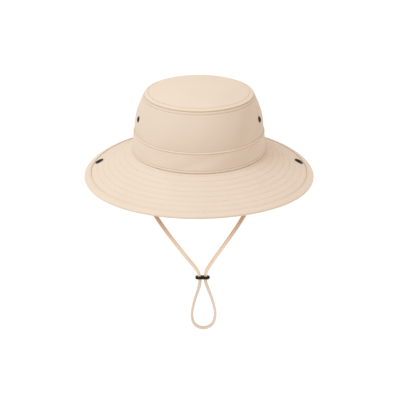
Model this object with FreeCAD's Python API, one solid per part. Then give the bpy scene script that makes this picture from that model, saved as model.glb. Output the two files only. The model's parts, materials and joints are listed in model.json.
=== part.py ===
"""A boonie hat: stitched cloth crown and brim, side snaps, air eyelets and a chin cord with a bead.

The origin is the centre of the head opening, in the plane where the crown meets the brim.
+Z is up, the front is -Y, and the wearer's left is +X. Sizes are in millimetres.
"""
import FreeCAD, Part
import math
import os

Vector = FreeCAD.Vector

# Crown, outside sizes
LENGTH_RATIO = 1.15
BASE_HALF_WIDTH = 87.0
BAND_TOP_HALF_WIDTH = 85.0
BAND_HEIGHT = 26.4
TIP_SEAM_HALF_WIDTH = 70.8
TIP_SEAM_HEIGHT = 73.9
WALL_BULGE = 2.8
TIP_RISE = 12.2
TIP_POWER = 2.27

# Cloth thicknesses
WALL = 1.2
BAND = 1.0
SWEATBAND = 1.2
SWEATBAND_HEIGHT = 32.0
TAPE = 0.8
TAPE_WIDTH = 10.0
PLY_GAP = 0.05
LINING_GAP = 0.15
UPPER_PLY = 0.7
INTERLINING = 0.8
LOWER_PLY = 0.7
BINDING = 0.6

# Brim
BRIM_WIDTH = 73.0
BINDING_WIDTH = 10.0
BRIM_SLOPE = math.radians(26.4)
FRONT_SLOPE = math.radians(1.0)
SIDE_SLOPE = math.radians(2.0)
SLOPE_CHANGE = math.radians(-9.6)
SEAM_INSET = 2.0
SEAM_DROP = 0.1
RING_POINTS = 36
RING_STEPS = 6

# Side folds
SNAP_ANGLE = math.radians(8.0)
FOLD_INSET = 2.0
FOLD_HEIGHT = -1.0
FOLD_HALF_LENGTH = 30.0
FOLD_SIDE_ANGLE = math.radians(25.0)
FOLD_GAP = 0.3
FOLD_REACH = 110.0

# Snaps
SNAP_SLANT = 54.0
SNAP_RADIUS = 6.0
SNAP_LIFT = 0.15
SOCKET_HEIGHT = 1.4
SOCKET_BASE = 0.5
RECESS_RADIUS = 2.7
STUD_RADIUS = 4.6
STUD_LIFT = 0.05
STUD_BASE = 0.45
KNOB_RADIUS = 1.8
KNOB_HEIGHT = 1.45
POST_RADIUS = 1.2
POST_HOLE_RADIUS = 1.45
CAP_HEIGHT = 1.2
SNAP_STACK = 2.8

# Eyelets
EYELET_FRONT_ANGLE = math.radians(-17.0)
EYELET_REAR_ANGLE = math.radians(34.5)
EYELET_HEIGHT = 47.4
EYELET_RADIUS = 4.1
EYELET_BARREL = 2.7
EYELET_HOLE = 2.1
EYELET_FLANGE = 0.6
EYELET_LIFT = 0.15

# Chin cord: points of each stretch in the plane Y = 0, as (X, Z)
CORD_DIAMETER = 4.4
RIGHT_ROUTE = [(-80.0, 9), (-80.6, -16), (-77, -48), (-68, -79), (-52.5, -107), (-35, -133),
               (-15.5, -160), (-6.3, -171.4), (-0.4, -180.4), (0.7, -187.8)]
LEFT_ROUTE = [(80.0, 9), (80.5, -15), (77.5, -47), (69.5, -78), (55.5, -106), (38.5, -133),
              (20.5, -160), (13.4, -171.6), (8.8, -180.4), (8.7, -187.8)]
LOOP_ROUTE = [(0.7, -187.8), (1.7, -194.5), (-0.6, -205), (-6, -222), (-10.2, -240.5), (-9.4, -253.9),
              (-4.8, -261.4), (3, -265.4), (11.7, -264.6), (18.7, -259.4), (21.8, -251.2), (22.6, -239),
              (18.2, -221.5), (12.2, -204.5), (8.6, -195), (8.7, -187.8)]

# Bead on the cord
BEAD_CENTRE = Vector(4.8, 0, -187.8)
BEAD_LENGTH = 20.0
BEAD_DEPTH = 7.6
BEAD_HEIGHT = 4.2
BEAD_EDGE = 1.5
BEAD_HOLE_RADIUS = 2.7

SIDES = {"left": 1, "right": -1}


def save(name, shape):
    shape.exportStep(f"parts/{name}.step")


def line(start, end):
    return Part.LineSegment(start, end).toShape()


# ---------------------------------------------------------------- crown

def wall_radius(z):
    """Half-width of the crown wall's outer face, under the band, at a height."""
    base = BASE_HALF_WIDTH - BAND - PLY_GAP
    band_top = BAND_TOP_HALF_WIDTH - BAND - PLY_GAP
    if z <= BAND_HEIGHT:
        return base + (band_top - base) * z / BAND_HEIGHT
    v = (z - BAND_HEIGHT) / (TIP_SEAM_HEIGHT - BAND_HEIGHT)
    return band_top * (1 - v) + TIP_SEAM_HALF_WIDTH * v + 4 * WALL_BULGE * v * (1 - v)


def wall_point(z, offset):
    return Vector(wall_radius(z) + offset, 0, z)


def wall_edges(low, high, offset):
    """The wall's side view between two heights: straight up to the band's top, then an arc."""
    edges = []
    if low < BAND_HEIGHT:
        edges.append(line(wall_point(low, offset), wall_point(min(high, BAND_HEIGHT), offset)))
    if high > BAND_HEIGHT:
        start = max(low, BAND_HEIGHT)
        heights = (start, (start + high) / 2, high)
        edges.append(Part.Arc(*[wall_point(z, offset) for z in heights]).toShape())
    return edges


def oval(shape):
    """Stretches a round shape front to back, into the oval of a head."""
    stretch = FreeCAD.Matrix()
    stretch.A22 = LENGTH_RATIO
    return shape.transformGeometry(stretch)


def turned(edges):
    face = Part.Face(Part.Wire(Part.__sortEdges__(edges)))
    return oval(face.revolve(Vector(0, 0, 0), Vector(0, 0, 1), 360))


def crown_ring(low, high, inner, outer):
    """A ring of cloth that follows the crown wall, between two offsets from its outer face."""
    ends = [line(wall_point(z, inner), wall_point(z, outer)) for z in (low, high)]
    return turned(wall_edges(low, high, inner) + wall_edges(low, high, outer) + ends)


def tip_curve(radius, base):
    """The dome's side view, from its rim to a level crest on the axis."""
    points = []
    for share in (1.0, 0.85, 0.65, 0.4, 0.0):
        points.append(Vector(radius * share, 0, base + TIP_RISE * (1 - share ** TIP_POWER)))
    slope = TIP_RISE * TIP_POWER / radius
    curve = Part.BSplineCurve()
    curve.interpolate(points, False, 1e-6, Vector(-1, 0, slope).normalize(), Vector(-1, 0, 0))
    return curve.toShape()


def crown_tip():
    rim = TIP_SEAM_HEIGHT + PLY_GAP
    outer = tip_curve(TIP_SEAM_HALF_WIDTH, rim + WALL)
    inner = tip_curve(TIP_SEAM_HALF_WIDTH - WALL, rim)
    crest = rim + TIP_RISE
    sides = [line(Vector(0, 0, crest), Vector(0, 0, crest + WALL)),
             line(Vector(TIP_SEAM_HALF_WIDTH - WALL, 0, rim), Vector(TIP_SEAM_HALF_WIDTH, 0, rim + WALL))]
    return turned([outer, inner] + sides)


def back_tape(low, high):
    inner = -WALL - LINING_GAP - TAPE
    ring = crown_ring(low, high, inner, -WALL - LINING_GAP)
    reach = LENGTH_RATIO * BASE_HALF_WIDTH
    return ring.common(Part.makeBox(TAPE_WIDTH, reach, high, Vector(-TAPE_WIDTH / 2, 0, 0)))


def wall_place(side, angle, z):
    """A placement on the crown wall's outer face, with its own Z axis pointing out of the cloth."""
    radius = wall_radius(z)
    position = Vector(side * radius * math.cos(angle), LENGTH_RATIO * radius * math.sin(angle), z)
    rise = (wall_radius(z + 1) - wall_radius(z - 1)) / 2
    normal = Vector(side * math.cos(angle), math.sin(angle) / LENGTH_RATIO, -rise).normalize()
    return FreeCAD.Placement(position, FreeCAD.Rotation(Vector(0, 0, 1), normal))


# ---------------------------------------------------------------- brim

def slope_at(angle, slant):
    around = BRIM_SLOPE - FRONT_SLOPE * math.sin(angle) + SIDE_SLOPE * math.cos(2 * angle)
    return around + SLOPE_CHANGE * (slant / BRIM_WIDTH - 0.5)


def outward(angle):
    """The level direction that points straight out of the crown's oval."""
    return Vector(LENGTH_RATIO * math.cos(angle), math.sin(angle), 0).normalize()


def base_point(angle):
    return Vector(BASE_HALF_WIDTH * math.cos(angle), LENGTH_RATIO * BASE_HALF_WIDTH * math.sin(angle), 0)


def brim_point(angle, slant, depth):
    """A point of the brim: slant is measured down its slope, and depth into the cloth."""
    start = slope_at(angle, 0)
    here = slope_at(angle, max(slant, 0))
    bend = BRIM_WIDTH / SLOPE_CHANGE
    out = bend * (math.sin(here) - math.sin(start)) + min(slant, 0)
    down = bend * (math.cos(here) - math.cos(start)) - SEAM_DROP
    if slant <= 0:
        return base_point(angle) + outward(angle) * out + Vector(0, 0, down - depth)
    normal = outward(angle) * math.sin(here) + Vector(0, 0, math.cos(here))
    return base_point(angle) + outward(angle) * out + Vector(0, 0, down) - normal * depth


def ring_edge(slant, depth):
    points = [brim_point(2 * math.pi * i / RING_POINTS, slant, depth) for i in range(RING_POINTS)]
    curve = Part.BSplineCurve()
    curve.interpolate(Points=points, PeriodicFlag=True)
    return curve.toShape()


def ring_solid(section):
    """A closed ring whose section is a list of (slant, depth) corners."""
    rings = [ring_edge(slant, depth) for slant, depth in section]
    faces = [Part.makeRuledSurface(rings[i - 1], rings[i]) for i in range(len(rings))]
    shell = Part.makeShell(faces)
    shell.sewShape()
    return Part.makeSolid(shell)


def brim_ply(top, bottom):
    end = BRIM_WIDTH - BINDING - PLY_GAP
    slants = [-SEAM_INSET] + [end * i / RING_STEPS for i in range(RING_STEPS + 1)]
    return ring_solid([(s, top) for s in slants] + [(s, bottom) for s in reversed(slants)])


def brim_binding(thickness):
    """Cloth folded round the brim's edge, over its top and under it."""
    inner = BRIM_WIDTH - BINDING_WIDTH
    middle = (inner + BRIM_WIDTH) / 2
    edge = BRIM_WIDTH - BINDING
    top = -PLY_GAP
    bottom = thickness + PLY_GAP
    outside = [(inner, top - BINDING), (middle, top - BINDING), (BRIM_WIDTH, top - BINDING),
               (BRIM_WIDTH, bottom + BINDING), (middle, bottom + BINDING), (inner, bottom + BINDING)]
    inside = [(inner, bottom), (middle, bottom), (edge, bottom), (edge, top), (middle, top), (inner, top)]
    return ring_solid(outside + inside)


def fold_frame(side):
    """The fold's place: a point on its axis, the way out from the crown, and the way along it."""
    out = outward(SNAP_ANGLE)
    start = base_point(SNAP_ANGLE) + out * FOLD_INSET
    point = Vector(side * start.x, start.y, FOLD_HEIGHT)
    out = Vector(side * out.x, out.y, 0)
    return point, out, Vector(-out.y, out.x, 0)


def fold_prism(side, gap):
    """The upright prism that holds one folding side of the brim, moved out by a gap."""
    point, out, along = fold_frame(side)
    spread = FOLD_REACH / math.tan(FOLD_SIDE_ANGLE)
    start = point + out * gap
    corners = [start - along * FOLD_HALF_LENGTH, start + along * FOLD_HALF_LENGTH,
               start + out * FOLD_REACH + along * (FOLD_HALF_LENGTH + spread),
               start + out * FOLD_REACH - along * (FOLD_HALF_LENGTH + spread)]
    low = Vector(0, 0, -BRIM_WIDTH)
    outline = Part.makePolygon([c + low for c in corners + corners[:1]])
    return Part.Face(outline).extrude(Vector(0, 0, 2 * BRIM_WIDTH))


def snap_place(side):
    """A placement on the brim's upper face at the snap, with its own Z axis pointing out of the cloth."""
    slope = slope_at(SNAP_ANGLE, SNAP_SLANT)
    position = brim_point(SNAP_ANGLE, SNAP_SLANT, 0)
    normal = outward(SNAP_ANGLE) * math.sin(slope) + Vector(0, 0, math.cos(slope))
    position.x *= side
    normal.x *= side
    return FreeCAD.Placement(position, FreeCAD.Rotation(Vector(0, 0, 1), normal))


def fold_limit():
    """(angle, stud height): how far a side folds up until its snap closes on the crown's stud."""
    point, out, along = fold_frame(1)
    arm = brim_point(SNAP_ANGLE, SNAP_SLANT, 0) - point
    reach = math.hypot(arm.dot(out), arm.z)
    start = math.atan2(arm.z, arm.dot(out))
    height = FOLD_HEIGHT + reach
    for step in range(20):
        wall = (wall_radius(height) - BASE_HALF_WIDTH) - FOLD_INSET
        end = math.acos((wall + SNAP_STACK) / reach)
        height = FOLD_HEIGHT + reach * math.sin(end)
    return end - start, height


# ---------------------------------------------------------------- small metal pieces

def disc(radius, low, high):
    return Part.makeCylinder(radius, high - low, Vector(0, 0, low))


def placed(shape, placement):
    shape.Placement = placement
    return shape


def eyelet():
    """A ring with a rounded flange outside and a barrel through the cloth."""
    flange = disc(EYELET_RADIUS, EYELET_LIFT, EYELET_LIFT + EYELET_FLANGE)
    rim = [e for e in flange.Edges if e.BoundBox.ZMin > EYELET_LIFT + EYELET_FLANGE / 2]
    flange = flange.makeFillet(EYELET_FLANGE / 2, [e for e in rim if len(e.Vertexes) == 1][:1])
    barrel = disc(EYELET_BARREL, -WALL - 3 * EYELET_LIFT - EYELET_FLANGE, EYELET_LIFT)
    return flange.fuse(barrel).cut(disc(EYELET_HOLE, -2 * EYELET_RADIUS, EYELET_RADIUS)).removeSplitter()


def eyelet_washer():
    top = -WALL - 2 * EYELET_LIFT
    return disc(EYELET_RADIUS, top - EYELET_FLANGE, top).cut(
        disc(EYELET_BARREL + PLY_GAP, -2 * EYELET_RADIUS, 0))


def snap_socket():
    top = SNAP_LIFT + SOCKET_HEIGHT
    body = disc(SNAP_RADIUS, SNAP_LIFT, top)
    rim = [e for e in body.Edges if e.BoundBox.ZMin > SNAP_LIFT + SOCKET_HEIGHT / 2]
    body = body.makeFillet(SOCKET_HEIGHT / 3, [e for e in rim if len(e.Vertexes) == 1][:1])
    body = body.cut(disc(RECESS_RADIUS, SNAP_LIFT + SOCKET_BASE, top + 1))
    return body.cut(disc(POST_RADIUS + PLY_GAP, 0, top))


def snap_cap(thickness):
    """The cap under the brim, with a post that reaches up into the socket's base."""
    top = -thickness - SNAP_LIFT
    return disc(SNAP_RADIUS, top - CAP_HEIGHT, top).fuse(disc(POST_RADIUS, top, SNAP_LIFT + SOCKET_BASE))


def crown_stud():
    base = disc(STUD_RADIUS, STUD_LIFT, STUD_BASE)
    return base.fuse(disc(KNOB_RADIUS, STUD_BASE, KNOB_HEIGHT)).cut(
        disc(POST_RADIUS + PLY_GAP, 0, STUD_BASE))


def crown_post():
    """The plate inside the crown, with a post through the cloth into the stud's base."""
    top = -WALL - 2 * SNAP_LIFT
    return disc(STUD_RADIUS, top - STUD_BASE, top).fuse(disc(POST_RADIUS, top, STUD_BASE - PLY_GAP))


# ---------------------------------------------------------------- cord and bead

def cord_tube(name, route):
    """A round tube along straight runs joined by arcs, each arc as large as its runs allow."""
    points = [Vector(x, 0, z) for x, z in route]
    edges = []
    radii = []
    here = points[0]
    for before, corner, after in zip(points, points[1:], points[2:]):
        inward = (before - corner).normalize()
        onward = (after - corner).normalize()
        half_turn = (math.pi - inward.getAngle(onward)) / 2
        cut = 0.45 * min((before - corner).Length, (after - corner).Length)
        radii.append(cut / math.tan(half_turn))
        bisector = (inward + onward).normalize()
        middle = corner + bisector * (radii[-1] / math.cos(half_turn) - radii[-1])
        edges.append(line(here, corner + inward * cut))
        edges.append(Part.Arc(corner + inward * cut, middle, corner + onward * cut).toShape())
        here = corner + onward * cut
    edges.append(line(here, points[-1]))
    path = Part.Wire(edges)
    start = (points[1] - points[0]).normalize()
    section = Part.Wire(Part.makeCircle(CORD_DIAMETER / 2, points[0], start))
    tube = path.makePipeShell([section], True, False)
    expected = math.pi * CORD_DIAMETER ** 2 / 4 * path.Length
    print(name, "length %.1f" % path.Length, "least radius %.1f" % min(radii),
          "volume %.4f of section times length" % (tube.Volume / expected))
    return tube


def bead():
    """A flat-sided oval bar with two holes that the cord runs through."""
    half = (BEAD_LENGTH - BEAD_DEPTH) / 2
    radius = BEAD_DEPTH / 2
    low = BEAD_CENTRE - Vector(0, 0, BEAD_HEIGHT / 2)
    corners = [low + Vector(x, y, 0) for x, y in
               ((-half, -radius), (half, -radius), (half, radius), (-half, radius))]
    tips = [low + Vector(half + radius, 0, 0), low - Vector(half + radius, 0, 0)]
    outline = Part.Wire([line(corners[0], corners[1]), Part.Arc(corners[1], tips[0], corners[2]).toShape(),
                         line(corners[2], corners[3]), Part.Arc(corners[3], tips[1], corners[0]).toShape()])
    body = Part.Face(outline).extrude(Vector(0, 0, BEAD_HEIGHT))
    level = [e for e in body.Edges if e.BoundBox.ZLength < BEAD_HEIGHT / 2]
    body = body.makeFillet(BEAD_EDGE, level)
    for x in (LOOP_ROUTE[0][0], LOOP_ROUTE[-1][0]):
        body = body.cut(Part.makeCylinder(BEAD_HOLE_RADIUS, 2 * BEAD_HEIGHT,
                                          Vector(x, 0, BEAD_CENTRE.z - BEAD_HEIGHT)))
    return body


# ---------------------------------------------------------------- the whole hat

def make_crown(stud_height):
    wall = crown_ring(0, TIP_SEAM_HEIGHT, -WALL, 0)
    eyelets = {"front": EYELET_FRONT_ANGLE, "rear": EYELET_REAR_ANGLE}
    for side_name, side in SIDES.items():
        for end, angle in eyelets.items():
            place = wall_place(side, angle, EYELET_HEIGHT)
            save(f"eyelet_{end}_{side_name}", placed(eyelet(), place))
            save(f"eyelet_washer_{end}_{side_name}", placed(eyelet_washer(), place))
            hole = disc(EYELET_BARREL + PLY_GAP, -2 * EYELET_RADIUS, 2 * EYELET_RADIUS)
            wall = wall.cut(placed(hole, place))
        place = wall_place(side, SNAP_ANGLE, stud_height)
        save(f"crown_snap_stud_{side_name}", placed(crown_stud(), place))
        save(f"crown_snap_post_{side_name}", placed(crown_post(), place))
        wall = wall.cut(placed(disc(POST_HOLE_RADIUS, -SNAP_RADIUS, SNAP_RADIUS), place))
    save("crown_side", wall)
    save("crown_top", crown_tip())
    save("hat_band", crown_ring(PLY_GAP, BAND_HEIGHT, PLY_GAP, PLY_GAP + BAND))
    lining_face = -WALL - LINING_GAP
    save("sweatband", crown_ring(0, SWEATBAND_HEIGHT, lining_face - SWEATBAND, lining_face))
    tape_low = TIP_SEAM_HEIGHT - TAPE_WIDTH
    save("tip_seam_tape", crown_ring(tape_low, TIP_SEAM_HEIGHT, lining_face - TAPE, lining_face))
    save("back_seam_tape", back_tape(SWEATBAND_HEIGHT + PLY_GAP, tape_low - PLY_GAP))


def make_brim():
    lining_top = UPPER_PLY + PLY_GAP
    lower_top = lining_top + INTERLINING + PLY_GAP
    thickness = lower_top + LOWER_PLY
    layers = {
        "brim_upper": brim_ply(0, UPPER_PLY),
        "brim_interlining": brim_ply(lining_top, lining_top + INTERLINING),
        "brim_lower": brim_ply(lower_top, thickness),
        "brim_binding": brim_binding(thickness),
    }
    for name, ring in layers.items():
        middle = ring
        for side_name, side in SIDES.items():
            flap = ring.common(fold_prism(side, FOLD_GAP))
            middle = middle.cut(fold_prism(side, -FOLD_GAP))
            if name != "brim_binding":
                hole = disc(POST_HOLE_RADIUS, -SNAP_RADIUS, SNAP_RADIUS)
                flap = flap.cut(placed(hole, snap_place(side)))
            save(f"{name}_{side_name}", flap)
        if name == "brim_binding":
            for arc in middle.Solids:
                save(f"{name}_{'front' if arc.CenterOfMass.y < 0 else 'rear'}", arc)
        else:
            save(f"{name}_middle", middle)
    for side_name, side in SIDES.items():
        save(f"brim_snap_socket_{side_name}", placed(snap_socket(), snap_place(side)))
        save(f"brim_snap_cap_{side_name}", placed(snap_cap(thickness), snap_place(side)))


def make_cord():
    for name, route in (("left", LEFT_ROUTE), ("right", RIGHT_ROUTE), ("loop", LOOP_ROUTE)):
        save(f"chin_cord_{name}", cord_tube(name, route))
    save("cord_slider", bead())


os.makedirs("parts", exist_ok=True)
fold_angle, stud_height = fold_limit()
print("fold angle %.1f degrees, stud height %.1f" % (math.degrees(fold_angle), stud_height))
for side_name, side in SIDES.items():
    print(side_name, "fold", *fold_frame(side))
make_crown(stud_height)
make_brim()
make_cord()
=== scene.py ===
"""The looks of the boonie hat: sewn cloth, thread, black snaps and eyelets, a braided cord
and a soft studio.

Everything is in metres, in the frame of the CAD model: the origin is the centre of the head
opening, +Z is up, the front is -Y and the wearer's left is +X.
"""
import json
import math

import bpy
import numpy as np
from mathutils import Matrix, Vector


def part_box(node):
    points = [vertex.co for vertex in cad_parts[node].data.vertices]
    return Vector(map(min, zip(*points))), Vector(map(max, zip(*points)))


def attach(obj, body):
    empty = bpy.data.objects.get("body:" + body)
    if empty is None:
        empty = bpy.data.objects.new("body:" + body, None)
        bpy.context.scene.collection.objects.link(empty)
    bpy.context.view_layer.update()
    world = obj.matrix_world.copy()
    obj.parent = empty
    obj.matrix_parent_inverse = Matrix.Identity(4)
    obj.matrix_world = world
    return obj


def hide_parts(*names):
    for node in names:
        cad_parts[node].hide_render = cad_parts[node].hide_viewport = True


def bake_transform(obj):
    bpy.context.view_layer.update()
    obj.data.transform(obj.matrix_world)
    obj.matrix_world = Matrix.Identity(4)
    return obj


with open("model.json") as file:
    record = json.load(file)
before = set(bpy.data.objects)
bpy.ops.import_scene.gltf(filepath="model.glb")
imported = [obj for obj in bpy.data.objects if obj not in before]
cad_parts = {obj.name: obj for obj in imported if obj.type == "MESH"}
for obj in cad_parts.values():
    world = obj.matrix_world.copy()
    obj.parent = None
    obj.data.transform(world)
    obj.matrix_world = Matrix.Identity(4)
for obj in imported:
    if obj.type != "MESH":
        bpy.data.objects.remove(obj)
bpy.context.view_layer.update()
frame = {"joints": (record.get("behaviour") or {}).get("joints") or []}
MM = 0.001
SIDES = {"left": 1, "right": -1}

# The crown: its size comes from the frame, and its curves are those of the CAD model
BAND_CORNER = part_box("hat_band")[1]
WALL_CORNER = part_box("crown_side")[1]
TIP_LOW, TIP_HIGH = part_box("crown_top")
BASE = BAND_CORNER.x
RATIO = BAND_CORNER.y / BAND_CORNER.x
BAND_TOP = BAND_CORNER.z
WALL_BASE = WALL_CORNER.x
SEAM_Z = WALL_CORNER.z
SEAM_RADIUS = TIP_HIGH.x
SWEATBAND_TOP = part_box("sweatband")[1].z
STUD_HEIGHT = sum(corner.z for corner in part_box("crown_snap_stud_left")) / 2
WALL = 1.2 * MM
BAND = 1.0 * MM
BAND_TAPER = 2.0 * MM
WALL_BULGE = 2.8 * MM
TIP_RISE = TIP_HIGH.z - TIP_LOW.z - WALL
TIP_POWER = 2.27

# The brim: its curves and plies are those of the CAD model
BRIM_WIDTH = 73.0 * MM
BINDING_WIDTH = 10.0 * MM
BINDING_START = BRIM_WIDTH - BINDING_WIDTH
BRIM_SLOPE = math.radians(26.4)
FRONT_SLOPE = math.radians(1.0)
SIDE_SLOPE = math.radians(2.0)
SLOPE_CHANGE = math.radians(-9.6)
BRIM_THICKNESS = 2.3 * MM
UPPER_PLY = 0.7 * MM
LOWER_TOP = 1.6 * MM

# Stitching: the rows are measured down the brim from the crown
FIRST_ROW = 3.9 * MM
ROW_GAP = 8.38 * MM
ROWS = [FIRST_ROW + ROW_GAP * i for i in range(7)]
STITCH = 3.1 * MM
THREAD = 0.21 * MM
HOLE = 0.48 * MM
BRIM_HOLE = 0.26 * MM
BRIM_LIFT = 0.2

# The side folds
SNAP_ANGLE = math.radians(8.0)
SNAP_SLANT = 54.0 * MM
FOLD_TURN = math.radians(25.0)
FOLD_REACH = 31.0 * MM

FRONT = -math.pi / 2
BACK = math.pi / 2
WALL_ARC = 95 * MM
QUAD = ((0, 0), (1, 0), (1, 1), (0, 1))


# ---- shapes

def waves(u, v, scale, seed):
    """Gentle uneven waves between about -1 and 1, made of a few sines whose phases are seeded."""
    random = np.random.default_rng(seed)
    total = np.zeros(np.broadcast(u, v).shape)
    for i in range(6):
        turn = random.uniform(0, 2 * math.pi)
        size = scale * random.uniform(0.7, 1.5)
        total = total + np.sin((u * math.cos(turn) + v * math.sin(turn)) / size * 2 * math.pi
                               + random.uniform(0, 2 * math.pi))
    return total / 3.5


def around(angle, scale, seed):
    """Gentle uneven waves that close up round the hat, for a wavelength on its base."""
    random = np.random.default_rng(seed)
    turns = max(2, round(2 * math.pi * BASE / scale))
    total = np.zeros(np.shape(angle))
    for count in (turns - 1, turns, turns + 1, turns + 2):
        total = total + np.sin(count * angle + random.uniform(0, 2 * math.pi))
    return total / 2.5


def near(distance, width):
    return np.exp(-(distance / width) ** 2)


def arc(angle, start, radius=WALL_ARC):
    """The length round the hat from one angle to another, the short way."""
    return np.angle(np.exp(1j * (angle - start))) * radius


def bulge(value, low, high):
    """A rounded rise between two places, as of cloth folded between a seam and its stitch row."""
    return np.sin(math.pi * np.clip((value - low) / (high - low), 0, 1)) ** 0.75


def spread(low, high, centres, fine=0.3 * MM, coarse=3.0 * MM, reach=2.2 * MM):
    """Values from low to high, close together near the centres."""
    values = [low]
    while values[-1] < high - 1e-9:
        gap = min(abs(values[-1] + fine / 2 - c) for c in centres)
        step = fine if gap < reach else min(coarse, fine + (gap - reach) * 0.8)
        values.append(min(high, values[-1] + step))
    return values


def wall_radius(z):
    top = WALL_BASE - BAND_TAPER
    low = WALL_BASE + (top - WALL_BASE) * z / BAND_TOP
    v = (z - BAND_TOP) / (SEAM_Z - BAND_TOP)
    high = top * (1 - v) + SEAM_RADIUS * v + 4 * WALL_BULGE * v * (1 - v)
    return np.where(z <= BAND_TOP, low, high)


def oval(angle, radius, z):
    x, y = radius * np.cos(angle), RATIO * radius * np.sin(angle)
    return np.stack(np.broadcast_arrays(x, y, z), -1)


def slope_at(angle, slant):
    level = BRIM_SLOPE - FRONT_SLOPE * np.sin(angle) + SIDE_SLOPE * np.cos(2 * angle)
    return level + SLOPE_CHANGE * (slant / BRIM_WIDTH - 0.5)


def outward(angle):
    x, y = RATIO * np.cos(angle), np.sin(angle)
    size = np.hypot(x, y)
    return np.stack(np.broadcast_arrays(x / size, y / size, 0 * x), -1)


def brim_point(angle, slant, depth):
    """A point of the brim: slant is its distance down the slope, and depth goes into the cloth."""
    start = slope_at(angle, 0)
    here = slope_at(angle, np.maximum(slant, 0))
    bend = BRIM_WIDTH / SLOPE_CHANGE
    out = bend * (np.sin(here) - np.sin(start)) + np.minimum(slant, 0)
    down = bend * (np.cos(here) - np.cos(start))
    flat = slant <= 0
    tilt = np.where(flat, 0, here)
    out = out - depth * np.sin(tilt)
    down = down - depth * np.cos(tilt)
    ripple = 0.5 * MM * around(angle, 150 * MM, 5) * np.clip(slant / BRIM_WIDTH, 0, 1) ** 2
    return (oval(angle, BASE, 0) + outward(angle) * out[..., None]
            + np.stack(np.broadcast_arrays(0 * down, 0 * down, down + ripple), -1))


def thread_rows(slant, rows):
    """The distance to the nearest stitch row."""
    return np.min([np.abs(slant - row) for row in rows], axis=0)


def quilted(angle, slant):
    """How far the brim's cloth stands up where its rows of stitches pull it down."""
    gap = thread_rows(slant, ROWS)
    pucker = np.sin(angle * 170 + 40 * slant / ROW_GAP) * near(gap, 1.6 * MM)
    return (0.035 * (1 - near(gap, 2.6 * MM)) - 0.01 * near(gap, 0.8 * MM)
            + 0.015 * pucker - 0.14 * near(slant - BINDING_START, 1.2 * MM)) * MM


# ---- meshes

def finish_mesh(name, verts, faces, uvs, material, normals=None, painted_shade=None):
    mesh = bpy.data.meshes.new(name)
    mesh.from_pydata(verts.tolist(), [], faces)
    # How much painted shade darkens each corner's colour, read by the cloth material
    depth = mesh.attributes.new("painted_shade", "FLOAT", "POINT")
    if painted_shade is not None:
        depth.data.foreach_set("value", np.clip(painted_shade, 0, 1).astype(np.float32).ravel())
    layer = mesh.uv_layers.new(name="cloth")
    layer.data.foreach_set("uv", np.asarray(uvs, np.float32).ravel())
    mesh.polygons.foreach_set("use_smooth", [True] * len(mesh.polygons))
    mesh.materials.append(material)
    mesh.update()
    if normals is not None:
        mesh.normals_split_custom_set_from_vertices(normals.tolist())
    piece = bpy.data.objects.new(name, mesh)
    bpy.context.scene.collection.objects.link(piece)
    return piece


def grid_normals(points, closed):
    """Vertex normals of a grid of points whose second direction closes on itself."""
    if closed:
        along = np.roll(points, -1, 0) - np.roll(points, 1, 0)
    else:
        along = np.gradient(points, axis=0)
    across = np.roll(points, -1, 1) - np.roll(points, 1, 1)
    normal = np.cross(along, across)
    return normal / np.maximum(np.linalg.norm(normal, axis=-1, keepdims=True), 1e-12)


def tube(u, v, closed=False, flip=False):
    """The faces and texture places of a tube whose rings lie at u and whose corners lie at v.

    The last v, and the last u where the tube closes on itself, stand for the first ones again.
    """
    rings, corners = len(u) - closed, len(v) - 1
    quads = [(i, j) for i in range(len(u) - 1) for j in range(corners)]
    order = QUAD[:1] + QUAD[:0:-1] if flip else QUAD
    faces = [tuple((i + a) % rings * corners + (j + b) % corners for a, b in order)
             for i, j in quads]
    uvs = [(u[i + a], v[j + b]) for i, j in quads for a, b in order]
    if not closed:
        first = tuple(range(corners))[::-1 if flip else 1]
        last = first[::-1]
        faces += [first, tuple((rings - 1) * corners + j for j in last)]
        uvs += [(0, v[j]) for j in first + last]
    return faces, uvs


def repeated(shape, places, count):
    """A shape's faces and texture places, for that many copies of it in one mesh."""
    faces = [tuple(copy * len(places) + k for k in face) for copy in range(count) for face in shape]
    return faces, [places[k] for face in shape for k in face] * count


def copies(local, centres, *axes):
    """The points of copies of a shape, each at its own centre and turned to its own axes."""
    points = centres[:, None]
    for k, axis in enumerate(axes):
        points = points + local[None, :, k, None] * axis[:, None]
    return points.reshape(-1, 3)


def ring_piece(name, surface, section, material, start=0.0, end=2 * math.pi, steps=540,
               painted_shade=None):
    """Cloth whose closed section goes round the oval, the whole way or from one angle to another.

    surface(angle, a, b) places the corner (a, b) of the section, which runs clockwise seen
    along the ring. The last argument, if given, says for each corner (a, b) how much painted shade
    darkens its colour, from 0 to 1: most in seams and creases, where shade falls.
    """
    whole = end - start > 2 * math.pi - 1e-6
    count = steps if whole else max(8, round(steps * (end - start) / (2 * math.pi))) + 1
    step = (end - start) / (count if whole else count - 1)
    a, b = np.array(section, float).T
    margin = 0 if whole else 1
    angles = start + step * (np.arange(count + 2 * margin) - margin)
    points = surface(angles[:, None], a[None], b[None])
    normals = grid_normals(points, whole)
    if not whole:
        points, normals = points[1:-1], normals[1:-1]
    lengths = np.linalg.norm(points[0] - np.roll(points[0], -1, 0), axis=1)
    around_section = np.concatenate([[0], np.cumsum(lengths)])
    along_ring = np.arange(count + whole) * step * 1.3 * BASE
    faces, uvs = tube(along_ring, around_section, whole)
    shade_tint = np.broadcast_to(painted_shade(a, b) if painted_shade else 0 * a, points.shape[:2])
    return finish_mesh(name, points.reshape(-1, 3), faces, uvs, material,
                       normals.reshape(-1, 3), shade_tint)


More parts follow.
